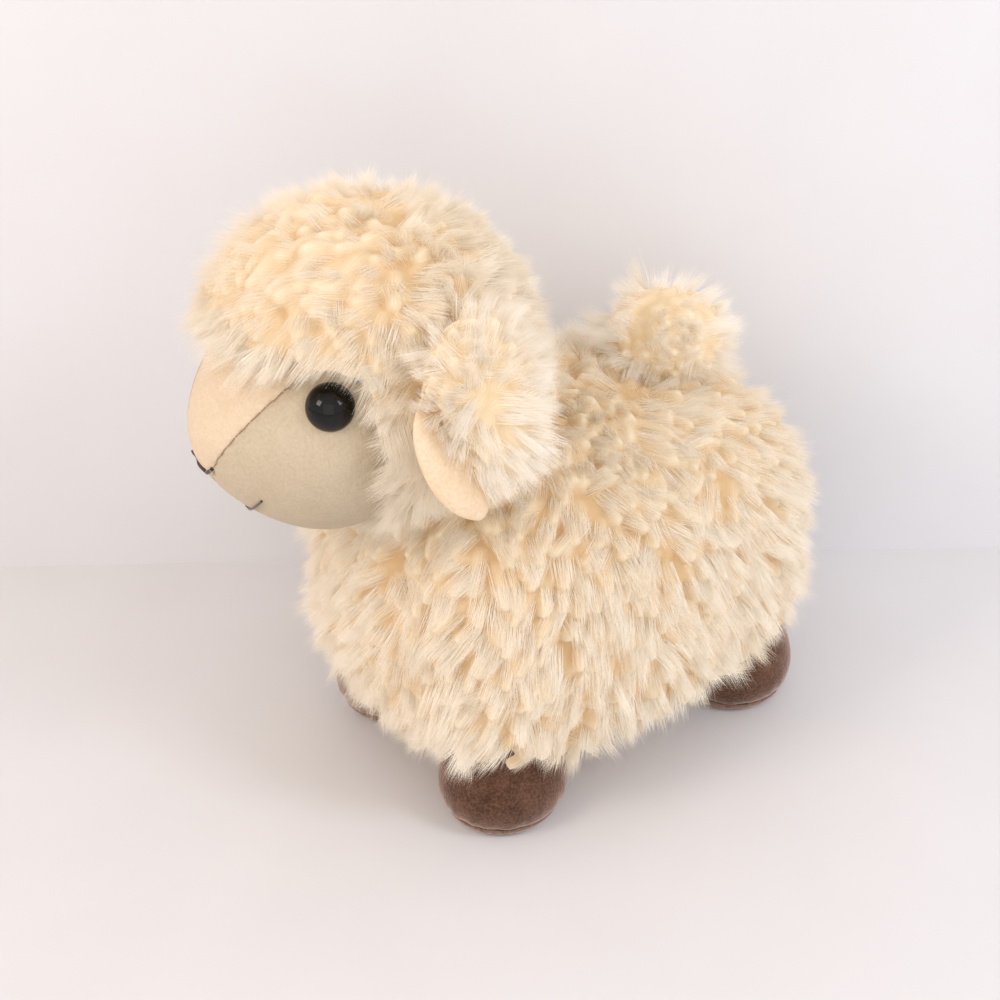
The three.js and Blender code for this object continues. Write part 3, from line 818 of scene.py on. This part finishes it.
for tuft in head_tufts:
    x, y, _ = tuft[0]
    part = "forelock" if y < HEAD_MIDDLE.y - FORELOCK_BACK else "left_crown" if x > 0 else "right_crown"
    HEAD_PARTS[part].append(tuft)
for part, tufts in HEAD_PARTS.items():
    pile(f"{part}_pile", tufts, fleece, "head", "fleece", wisp_count=11, half_width=2.6, scatter=0.75)


def into_face(point):
    """The way from the edge of the fleece into the face window."""
    beside = -(point - HAIRLINE).dot(HAIRLINE_NORMAL)
    above = -(point - BROW).dot(BROW_NORMAL)
    return HAIRLINE_NORMAL if beside > above else AHEAD * 0.8 + BROW_NORMAL


FRINGE_WIDTH = 5
FRINGE_TUFT, FRINGE_TUFT_SPREAD = 9, 1.3  # length
FRINGE_LEAN, FRINGE_LEAN_SPREAD = 70, 7  # degrees from the normal


def on_fringe(point, normal):
    return behind_hairline(point) < FRINGE_WIDTH and on_head(point, normal)


def fringe_comb(point, normal):
    wild = ruffled(point, grain_mm=12, patchy=0.5, stray=0.25)
    length = FRINGE_TUFT + FRINGE_TUFT_SPREAD * rng.normal()
    lean = FRINGE_LEAN + FRINGE_LEAN_SPREAD * rng.normal()
    return length, leant(normal, into_face(point) + wild, lean)


fringe_roots = scattered(formed(head_skin, 5, inset=3.5), spacing=2.8, keep=on_fringe)
fringe_tufts = trimmed(combed(fringe_roots, fringe_comb))
pile("fringe_pile", fringe_tufts, fleece, "head", "fleece", wisp_count=5, half_width=2.2)

# Face

SEAM_WIDTH = 2.4  # cloth that is drawn in beside a face seam
SEAM_DEPTH = 0.9
SEAM_END = 1  # how far past the middle line a gusset seam draws the cloth in
CHIN_TOP, CHIN_SHARE = -5, 0.7  # upper end of the chin's seam, and its depth over the gusset seams'
PUCKER, PUCKER_SHARE = 4.5, 0.45  # length of one pucker along a seam, and its depth over the seam's
SOCKET_REACH, SOCKET_DEPTH = 11, 0.6  # cloth that is drawn in round an eye
HAIRLINE_TUCK = 4  # face cloth behind the edge of the fleece
NOSE_FLOSS, MOUTH_FLOSS, SEAM_THREAD = 0.6, 0.35, 0.16  # radius
NOSE_PROUD, MOUTH_PROUD, STITCH_PROUD = 0.5, 0.4, 0.1  # of the cloth
HALVINGS = 40  # to find where a ray leaves the face


def gusset_plane(side):
    """Outward normal of the cut between the gusset and a cheek."""
    return ahead(side * GUSSET_SIDE, GUSSET_RISE).cross(ahead(0, -NOSE_DROP)).normalized() * side


def drawn_in(point):
    """How far the face cloth is drawn in at a point, by its seams and by the eyes."""
    away = point - FACE_MIDDLE
    depth = 0.0
    for side in SIDES.values():
        plane = gusset_plane(side)
        if away.x * side > -SEAM_END:
            share = max(0.0, 1 - abs(away.dot(plane)) / SEAM_WIDTH)
            wave = 1 + PUCKER_SHARE * math.sin(2 * math.pi * away.length * away.z / FACE_HALF.z / PUCKER)
            depth = max(depth, SEAM_DEPTH * share**2 * wave)
    for eye, _ in EYES.values():
        share = max(0.0, 1 - (point - eye).length / SOCKET_REACH)
        depth = max(depth, SOCKET_DEPTH * share**2)
    if away.z < CHIN_TOP:
        share = max(0.0, 1 - abs(away.x) / SEAM_WIDTH)
        depth = max(depth, CHIN_SHARE * SEAM_DEPTH * share**2)
    return depth


def face_panel(name, material, cuts):
    """One panel of the face: what the cuts, each a normal and a point, leave of its skin."""
    bm = formed(face_skin, 6)
    for normal, point in cuts + [(-HAIRLINE_NORMAL, HAIRLINE - HAIRLINE_NORMAL * HAIRLINE_TUCK)]:
        geom = bm.verts[:] + bm.edges[:] + bm.faces[:]
        bmesh.ops.bisect_plane(bm, geom=geom, plane_co=point, plane_no=normal, clear_outer=True)
    for vert in bm.verts:
        outwards = (vert.co - FACE_MIDDLE).normalized()
        vert.co -= outwards * drawn_in(vert.co)
    thicken(piece(f"{name}_cloth", bm, material, "head", "face_velour", f"{name}_panel"), CLOTH)


left_plane, right_plane = gusset_plane(1), gusset_plane(-1)
face_panel("nose", nose_velour, [(left_plane, FACE_MIDDLE), (right_plane, FACE_MIDDLE)])
face_panel("left_cheek", cheek_velour_painted_shade, [(-left_plane, FACE_MIDDLE), (Vector((-1, 0, 0)), FACE_MIDDLE)])
face_panel("right_cheek", cheek_velour_painted_shade, [(-right_plane, FACE_MIDDLE), (Vector((1, 0, 0)), FACE_MIDDLE)])


def thread(name, strands, material, radius, *nodes):
    """Sewn thread along strands of points."""
    curve = bpy.data.curves.new(name, "CURVE")
    curve.dimensions = "3D"
    curve.bevel_depth = radius
    curve.bevel_resolution = 2
    curve.use_fill_caps = True
    for points in strands:
        spline = curve.splines.new("POLY")
        spline.points.add(len(points) - 1)
        for spot, point in zip(spline.points, points):
            spot.co = (*point, 1)
    drawn = bpy.data.objects.new(name, curve)
    bm = bmesh.new()
    bm.from_mesh(drawn.to_mesh())
    bpy.data.objects.remove(drawn)
    return piece(name, bm, material, "head", "thread", *nodes)


def on_face(direction, proud):
    """A point that stands proud of the face cloth."""
    point = face_skin(direction)
    outwards = skin_normal(face_skin, direction)
    return point + outwards * (proud - drawn_in(point))


def along_gusset(side, distance):
    """Unit vector to a gusset seam, at a distance from the nose."""
    tip = ahead(0, -NOSE_DROP)
    axis = tip.cross(ahead(side * GUSSET_SIDE, GUSSET_RISE)).normalized()
    turn = distance / (face_skin(tip) - FACE_MIDDLE).length
    return Matrix.Rotation(turn, 3, axis) @ tip


def on_seam(side, distance, proud):
    """A point on a gusset seam, where a ray in the plane of the cut leaves the face."""
    ray = along_gusset(side, distance)
    near, far = 0, 2 * FACE_HALF.x
    for _ in range(HALVINGS):
        reach = (near + far) / 2
        narrowing = 1 - MUZZLE_TAPER * max(0.0, -ray.y * reach / FACE_HALF.y) ** 2
        shares = (ray.x / FACE_HALF.x / narrowing, ray.y / FACE_HALF.y, ray.z / FACE_HALF.z / narrowing)
        if narrowing > 0 and Vector(shares).length * reach < 1:
            near = reach
        else:
            far = reach
    point = FACE_MIDDLE + ray * near
    return point + ray * (proud - drawn_in(point))


# The nose stitch starts above the meeting point of the two seams and runs out onto them.
STEPS = 24
nose_path = []
for place in np.linspace(-1, 1, STEPS):
    side, share = (1 if place > 0 else -1), abs(place)
    above = on_face(along_gusset(side, share * NOSE_ARM), NOSE_PROUD)
    nose_path.append(above.lerp(on_seam(side, share * NOSE_ARM, NOSE_PROUD), share))
thread("nose_floss", [nose_path], floss, NOSE_FLOSS, "nose_stitch")
mouth_path = [ahead(s * MOUTH_SIDE, MOUTH_SMILE * s**2 - MOUTH_DROP) for s in np.linspace(-1, 1, STEPS)]
thread("mouth_floss", [[on_face(d, MOUTH_PROUD) for d in mouth_path]], floss, MOUTH_FLOSS, "mouth_stitch")

# The seams' own stitches, from the nose up to the fleece
STITCH, STITCH_PITCH = 1.7, 2.3
SEAM_LENGTH = 62
for side, sign in SIDES.items():
    starts = np.arange(NOSE_ARM, SEAM_LENGTH, STITCH_PITCH)
    strands = [[on_seam(sign, d + STITCH * share, STITCH_PROUD) for share in (0, 0.5, 1)] for d in starts]
    thread(f"{side}_seam_stitches", strands, seam_thread, SEAM_THREAD)


def spun(profile, steps):
    """A profile of radius and height spun round Z."""
    bm = bmesh.new()
    verts = [bm.verts.new((radius, 0, height)) for radius, height in profile]
    edges = [bm.edges.new(pair) for pair in zip(verts, verts[1:])]
    bmesh.ops.spin(
        bm,
        geom=verts + edges,
        cent=(0, 0, 0),
        axis=UP,
        angle=2 * math.pi,
        steps=steps,
        use_merge=True,
    )
    bmesh.ops.remove_doubles(bm, verts=bm.verts, dist=1e-4)
    bmesh.ops.recalc_face_normals(bm, faces=bm.faces)
    return bm


SHANK_RADIUS, SHANK_END = 2.2, -13
EYE_RIM = 0.4  # half the height of the eye's edge
dome_angles = [math.radians(a) for a in range(0, 90, 9)]
eye_profile = [
    (0, SHANK_END),
    (SHANK_RADIUS, SHANK_END),
    (SHANK_RADIUS, -EYE_RIM),
    (EYE_RADIUS - 0.5, -EYE_RIM),
    (EYE_RADIUS, 0),
    *[(EYE_RADIUS * math.cos(a), EYE_RIM + EYE_DOME * math.sin(a)) for a in dome_angles],
    (0, EYE_RIM + EYE_DOME),
]
for side, (middle, outwards) in EYES.items():
    bm = spun(eye_profile, steps=48)
    turn = UP.rotation_difference(outwards).to_matrix().to_4x4()
    bmesh.ops.transform(bm, matrix=Matrix.Translation(middle - outwards * EYE_SINK) @ turn, verts=bm.verts)
    piece(f"{side}_eye_dome", bm, eye_black, "head", "eye_plastic", f"{side}_eye")
    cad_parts[f"{side}_eye_washer"].data.materials.clear()
    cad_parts[f"{side}_eye_washer"].data.materials.append(nylon)

# Ears, worked out in a frame with the root line at z = 0 and the outside towards +X

EAR_MIDDLE = Vector((0, 0, -EAR_DROP))
EAR_FULLNESS = 2.2
LOBE = Vector((0, -0.79, -0.61))  # towards the middle of the lining that shows
LOBE_EDGE, LOBE_FADE = 0.5, 0.35  # cosines: where it begins to show, and how far on it shows in full
LOBE_ROLL = 6  # of the lining outwards, and of the wool back from it
LINING_HIDDEN, LINING_SHOWN = 0.74, 0.33  # size over the ear's, and more where it shows
LINING_HALF = Vector((3.2, EAR_HALF.y - 1, EAR_HALF.z - 1))
LINING_OUT = 0.5  # from the ear's middle to the lining's
FLAP_HALF = Vector((4.5, EAR_HALF.y - 6, EAR_HALF.z - 6))
EAR_WOOL_HALF = Vector((6.2, EAR_HALF.y - 4.5, EAR_HALF.z - 4.5))
FLAP_OUT = Vector((4, 0, 1))  # from the ear's middle to those of flap and wool
FLAP_TOP = 4  # above it no tufts grow
LOBE_BARE = 13  # and none further than this towards the lobe
INSIDE_BARE = -0.7  # X of the normals on the bare inside
EAR_WHORL = UP * 2  # from the ear's middle to where the tufts part
EAR_CUT = UP * 0.5  # the lining ends there
EAR_TUFT, EAR_TUFT_SPREAD = 13, 1.5  # length in the middle
RIM_SHORTER, LOBE_SHORTER = 4, 3  # by which tufts are shorter at the rim, and more at the lobe
EAR_LEAN, RIM_LEAN = 42, 28  # degrees from straight out, and more at the rim


def ear_matrix(sign):
    """From the frame of an ear to its place on the head."""
    turn = Matrix.Rotation(math.radians(-sign * EAR_TILT), 4, "Y")
    flip = Matrix.Diagonal((sign, 1, 1, 1))
    return Matrix.Translation(Vector((sign * EAR_ROOT.x, EAR_ROOT.y, EAR_ROOT.z))) @ turn @ flip


def low_front(direction):
    """1 where the lining shows below and in front, falling to 0 round the rest of the ear."""
    share = min(1, max(0, (direction.dot(LOBE) - LOBE_EDGE) / LOBE_FADE))
    return share * share * (3 - 2 * share)


def lining_skin(direction):
    """The lining: its rim rolls outwards below and in front, and hides in the wool elsewhere."""
    point = plump(direction, LINING_HALF, EAR_FULLNESS)
    shown = low_front(direction)
    shrunk = LINING_HIDDEN + LINING_SHOWN * shown
    out = point.x + LINING_OUT + LOBE_ROLL * shown
    return Vector((out, point.y * shrunk, point.z * shrunk)) + EAR_MIDDLE


def flap_skin(direction):
    """Where the feet of the tufts stand."""
    return plump(direction, FLAP_HALF, EAR_FULLNESS) + EAR_MIDDLE + FLAP_OUT


def ear_wool_skin(direction):
    point = plump(direction, EAR_WOOL_HALF, EAR_FULLNESS)
    return point + EAR_MIDDLE + FLAP_OUT - LOBE * LOBE_ROLL * low_front(direction)


def on_flap(point, normal):
    off_lobe = (point - EAR_MIDDLE).dot(LOBE) < LOBE_BARE
    return normal.x > INSIDE_BARE and point.z < FLAP_TOP and off_lobe


def ear_comb(point, normal):
    away = point - EAR_MIDDLE - EAR_WHORL
    reach = Vector((0, away.y / FLAP_HALF.y, away.z / FLAP_HALF.z))
    wild = ruffled(point, grain_mm=13, patchy=0.5, stray=0.3)
    rim = min(1, reach.length)
    shorter = LOBE_SHORTER * low_front(reach.normalized()) * rim
    length = EAR_TUFT - RIM_SHORTER * rim - shorter + EAR_TUFT_SPREAD * rng.normal()
    lean = EAR_LEAN + RIM_LEAN * rim + LEAN_SPREAD * rng.normal()
    return length, leant(Vector((1, 0, 0)), reach.normalized() + wild, lean)


for side, sign in SIDES.items():
    place = ear_matrix(sign)
    bm = formed(lining_skin, 5)
    geom = bm.verts[:] + bm.edges[:] + bm.faces[:]
    bmesh.ops.bisect_plane(bm, geom=geom, plane_co=EAR_CUT, plane_no=UP, clear_outer=True)
    bmesh.ops.holes_fill(bm, edges=bm.edges)
    bmesh.ops.transform(bm, matrix=place, verts=bm.verts)
    bmesh.ops.recalc_face_normals(bm, faces=bm.faces)
    ear = f"{side}_ear"
    lining = piece(f"{ear}_lobe", bm, lining_velour, ear, "face_velour", f"{ear}_lining")
    flap_tufts = combed(scattered(formed(flap_skin, 4), spacing=3.8, keep=on_flap), ear_comb)
    bm = relief(formed(ear_wool_skin, 6), flap_tufts, half_width=3.2, depth=0.0, hollow=1.5)
    bmesh.ops.transform(bm, matrix=place, verts=bm.verts)
    bmesh.ops.recalc_face_normals(bm, faces=bm.faces)
    piece(f"{ear}_wool", bm, ear_tail_pile_painted_light, ear, "ear_fleece", f"{ear}_fleece")
    turn = np.array(place.to_3x3())
    tufts = [(np.array(place @ Vector(t[0])), turn @ t[1], t[2], t[3], turn @ t[4]) for t in flap_tufts]
    pile(f"{ear}_pile", tufts, ear_tail_pile_painted_light, ear, "ear_fleece", wisp_count=11, half_width=2.3, scatter=1.0)

# Tail

TAIL_RISE = UP * 10  # from the root to the middle
TAIL_HALF = Vector((16, 15, 13))
TAIL_WOOL_HALF = Vector((21, 20, 17))
TAIL_BASE = -0.93  # Z of the normals on the bare patch underneath
TAIL_LIFT = 2  # pull upwards, beside the distance from the root as pull outwards
TAIL_TUFT, TAIL_TUFT_SPREAD = 14, 1.5  # length
TAIL_LEAN = 50  # degrees from the normal


def tail_skin(direction):
    """Where the feet of the tufts stand."""
    return plump(direction, TAIL_HALF, 2) + TAIL_ROOT + TAIL_RISE


def tail_wool_skin(direction):
    return plump(direction, TAIL_WOOL_HALF, 2) + TAIL_ROOT + TAIL_RISE


def on_tail(point, normal):
    return normal.z > TAIL_BASE


def tail_comb(point, normal):
    wild = ruffled(point, grain_mm=12, patchy=0.6, stray=0.25)
    away = point - TAIL_ROOT
    outwards = Vector((away.x, away.y, TAIL_LIFT)).normalized()
    length = TAIL_TUFT + TAIL_TUFT_SPREAD * rng.normal()
    lean = TAIL_LEAN + LEAN_SPREAD * rng.normal()
    return length, leant(normal, outwards + wild, lean)


tail_tufts = combed(scattered(formed(tail_skin, 4), spacing=3.8, keep=on_tail), tail_comb)
bm = relief(formed(tail_wool_skin, 6), tail_tufts, half_width=3.2, depth=0.0, hollow=2.2)
piece("tail_wool", bm, ear_tail_pile_painted_light, "tail", "tail_fleece", "tail_fleece")
pile("tail_pile", tail_tufts, ear_tail_pile_painted_light, "tail", "tail_fleece", wisp_count=10, half_width=2.4, scatter=0.8)

# Legs

LEG_PROFILE = [
    (0, 17.5),
    (6.7, 16.2),
    (12.4, 12.4),
    (16.2, 6.7),
    (17.5, 0),
    (16.8, -7),
    (17.0, -12),
    (18.6, -18),
    (20.9, -24),
    (22.4, -29.5),
    (22.6, -34),
    (21.7, -38),
    (20.4, -40),
    (19.5, -40.5),
]
SOLE_PROFILE = [(19.5, -40.7), (20.1, -41.4), (19.4, -43.2), (17.2, -44.6), (14, -45), (0, -45)]
FOLD_RISE = 9  # above a sole seam
FOLD_WIDTH, FOLD_DEPTH = 3.2, 0.9


def puckered(bm, seed):
    """Small folds above a sole seam."""
    for vert in bm.verts:
        share = max(0.0, 1 - (vert.co.z - SOLE_PROFILE[0][1]) / FOLD_RISE)
        flat = Vector((vert.co.x, vert.co.y, 0))
        around = flat / FOLD_WIDTH + Vector((seed, 0, 0))
        vert.co += flat.normalized() * FOLD_DEPTH * share * noise.noise(around)
    return bm


for name, (hip, turn_out) in HIPS.items():
    place = (
        Matrix.Translation(hip)
        @ Matrix.Rotation(math.radians(turn_out), 4, "Z")
        @ Matrix.Diagonal((LEG_SLIMNESS, 1, 1, 1))
    )
    leg = f"{name}_leg"
    bm = puckered(spun(LEG_PROFILE, steps=96), seed=hip.x + hip.y)
    bmesh.ops.transform(bm, matrix=place, verts=bm.verts)
    cover = piece(f"{name}_foot_cloth", bm, foot_velour, leg, "foot_velour", f"{name}_foot_cover")
    bm = spun(SOLE_PROFILE, steps=40)
    bmesh.ops.transform(bm, matrix=place, verts=bm.verts)
    sole = piece(f"{name}_sole_cloth", bm, sole_velour, leg, "sole_velour", f"{name}_sole")
    bm = smooth_copy(f"{leg}_stuffing", voxel=2, rounds=4, inset=0.8)
    piece(f"{name}_filling", bm, filling, leg, "stuffing", f"{leg}_stuffing")
    for cloth in (cover, sole):
        thicken(cloth, CLOTH)
        smooth = cloth.modifiers.new("round", "SUBSURF")
        smooth.levels = smooth.render_levels = 1

# Camera, floor and light

camera = bpy.data.objects.new("camera", bpy.data.cameras.new("camera"))
bpy.context.scene.collection.objects.link(camera)
LOOK_AT = Vector((1.0, -4.8, 96.6)) * MM
CAMERA_BACK = ahead(side=56, rise=32)
CAMERA_DISTANCE = 560
camera.location = LOOK_AT + CAMERA_BACK * CAMERA_DISTANCE * MM
camera.rotation_euler = (-CAMERA_BACK).to_track_quat("-Z", "Y").to_euler()
camera.data.lens = 60.5
bpy.context.scene.camera = camera


# Matt white card: a faint mottle, seen as plain.
def card_material(name, low, high):
    material, tree, shader = finish(name, **{"Roughness": 0.95, "Specular IOR Level": 0.1})
    where = add(tree, "ShaderNodeTexCoord").outputs["Object"]
    mottle = add(tree, "ShaderNodeTexNoise", {"Vector": where, "Scale": 1 / (60 * MM), "Detail": 4.0})
    colour = add(tree, "ShaderNodeValToRGB", {"Fac": mottle.outputs["Fac"]}, [(0.3, low), (0.7, high)])
    tree.links.new(colour.outputs["Color"], shader.inputs["Base Color"])
    return material, tree, shader


CARD_HALF = 3000  # from the middle to an edge


def card(name, material, place, turn):
    """A flat stage card at a place in millimetres."""
    bm = bmesh.new()
    bmesh.ops.create_grid(bm, x_segments=1, y_segments=1, size=CARD_HALF * MM)
    bmesh.ops.transform(bm, matrix=Matrix.Translation(place * MM) @ turn, verts=bm.verts)
    mesh = bpy.data.meshes.new(name)
    bm.to_mesh(mesh)
    bm.free()
    mesh.materials.append(material)
    made = bpy.data.objects.new(name, mesh)
    bpy.context.scene.collection.objects.link(made)


floor_card, _, _ = card_material("matt white floor card", "#e2dfde", "#e5e2e1")
card("floor", floor_card, Vector((0, 0, 0)), Matrix.Identity(4))

# The backdrop shows its front only, so that other views look through its back.
wall_card, tree, shader = card_material("matt white backdrop card", "#e8e6e7", "#eae9ea")
behind = add(tree, "ShaderNodeNewGeometry").outputs["Backfacing"]
clear = add(tree, "ShaderNodeBsdfTransparent")
shows = {0: behind, 1: shader.outputs["BSDF"], 2: clear.outputs["BSDF"]}
one_sided = add(tree, "ShaderNodeMixShader", shows)
tree.links.new(one_sided.outputs["Shader"], tree.nodes["Material Output"].inputs["Surface"])
WALL_FACES = ahead(side=58, rise=0)
WALL_DISTANCE = 106  # behind the frame's origin
wall_turn = WALL_FACES.to_track_quat("Z", "Y").to_matrix().to_4x4()
card("backdrop", wall_card, WALL_FACES * -WALL_DISTANCE, wall_turn)


def softbox(name, place_mm, size_mm, watts, hex_colour):
    """A square area lamp turned towards the lamb."""
    lamp = bpy.data.lights.new(name, "AREA")
    lamp.energy = watts
    lamp.color = ink(hex_colour)[:3]
    lamp.size = size_mm * MM
    made = bpy.data.objects.new(name, lamp)
    made.location = Vector(place_mm) * MM
    made.rotation_euler = (LOOK_AT - made.location).to_track_quat("-Z", "Y").to_euler()
    bpy.context.scene.collection.objects.link(made)


softbox("left_window", (50, -800, 700), size_mm=300, watts=2.2, hex_colour="#ffeadc")
softbox("right_window", (800, 350, 800), size_mm=300, watts=3.2, hex_colour="#eaf0ff")
softbox("front_window", (620, -470, 420), size_mm=600, watts=0.6, hex_colour="#fff8f2")

world = bpy.data.worlds.new("studio")
bpy.context.scene.world = world
world.use_nodes = True
world.node_tree.nodes["Background"].inputs["Color"].default_value = ink("#f9f8f9")
world.node_tree.nodes["Background"].inputs["Strength"].default_value = 0.95
bpy.context.scene.view_settings.view_transform = "Standard"
